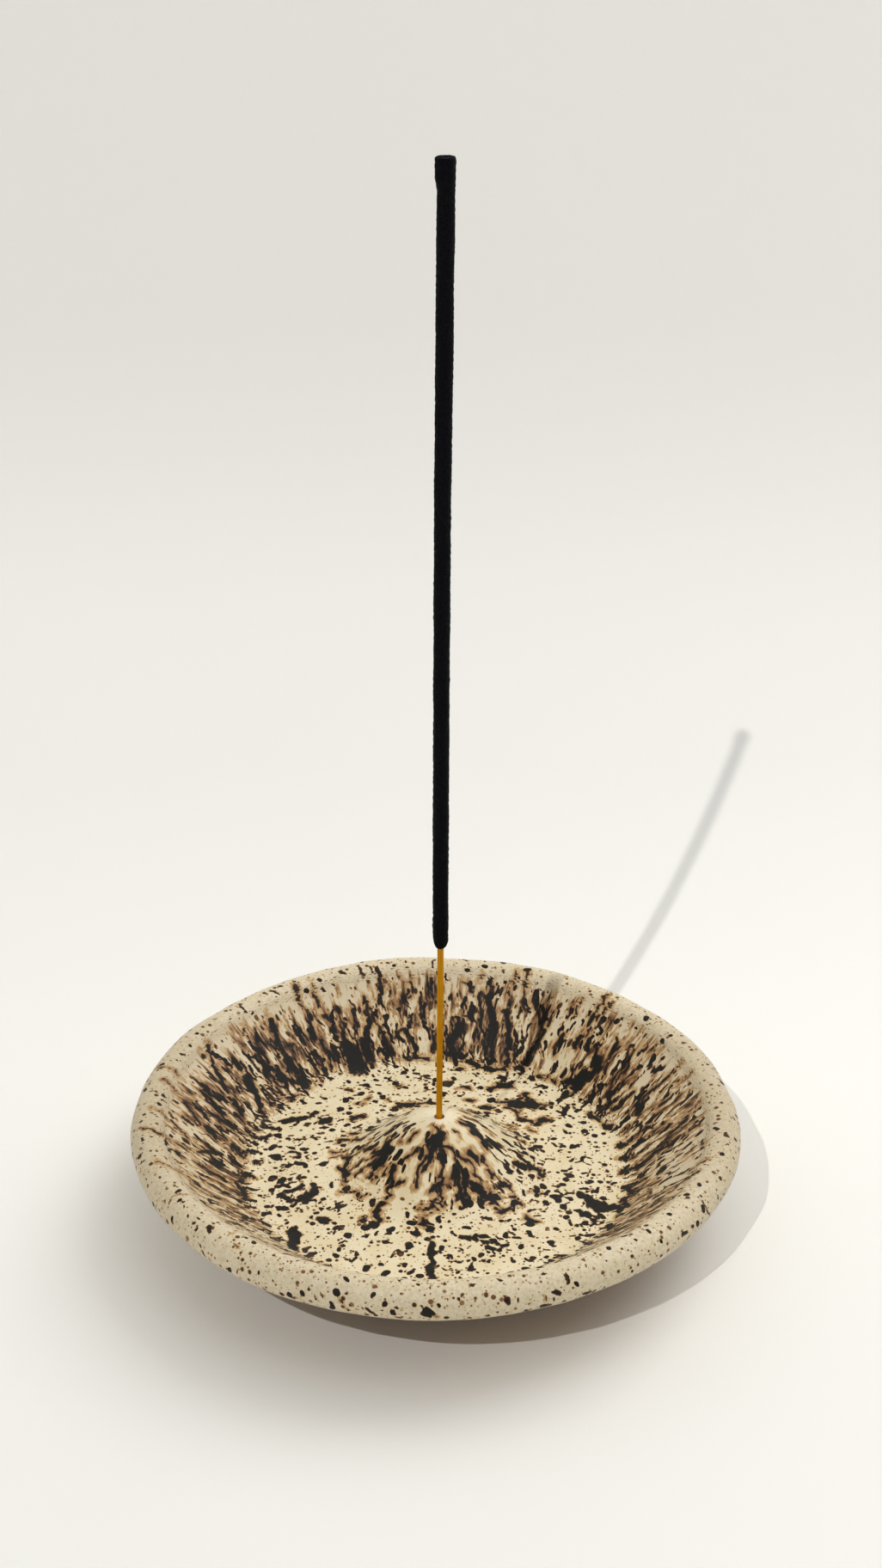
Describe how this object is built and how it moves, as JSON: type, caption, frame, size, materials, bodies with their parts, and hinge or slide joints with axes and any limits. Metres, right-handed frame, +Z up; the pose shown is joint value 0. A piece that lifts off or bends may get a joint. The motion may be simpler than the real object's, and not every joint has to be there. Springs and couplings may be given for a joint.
{
  "type": "incense burner",
  "caption": "Shallow round stoneware incense dish with a rolled rim and a rounded central mound that holds an upright incense stick, under a speckled cream glaze.",
  "frame": {"origin": "centre of the foot ring, on the plane the dish stands on", "axes": "+Z up the stick hole's axis and along the stick, which is the axis of turning of the dish; +X to the right and +Y away from a person who looks at the front"},
  "size_m": [0.138, 0.138, 0.2395],
  "materials": {
    "stoneware": "matte",
    "glaze": "satin",
    "bamboo": "matte",
    "incense": "matte"
  },
  "bodies": {
    "dish": {"dish_body": "stoneware", "glaze_coat": "glaze"},
    "stick": {"bamboo_core": "bamboo", "incense_paste": "incense"}
  },
  "joints": [
    {"name": "stick_lift", "type": "slide", "parent": "dish", "child": "stick", "axis": [0, 0, 1], "range_m": [0, 0.03]}
  ]
}
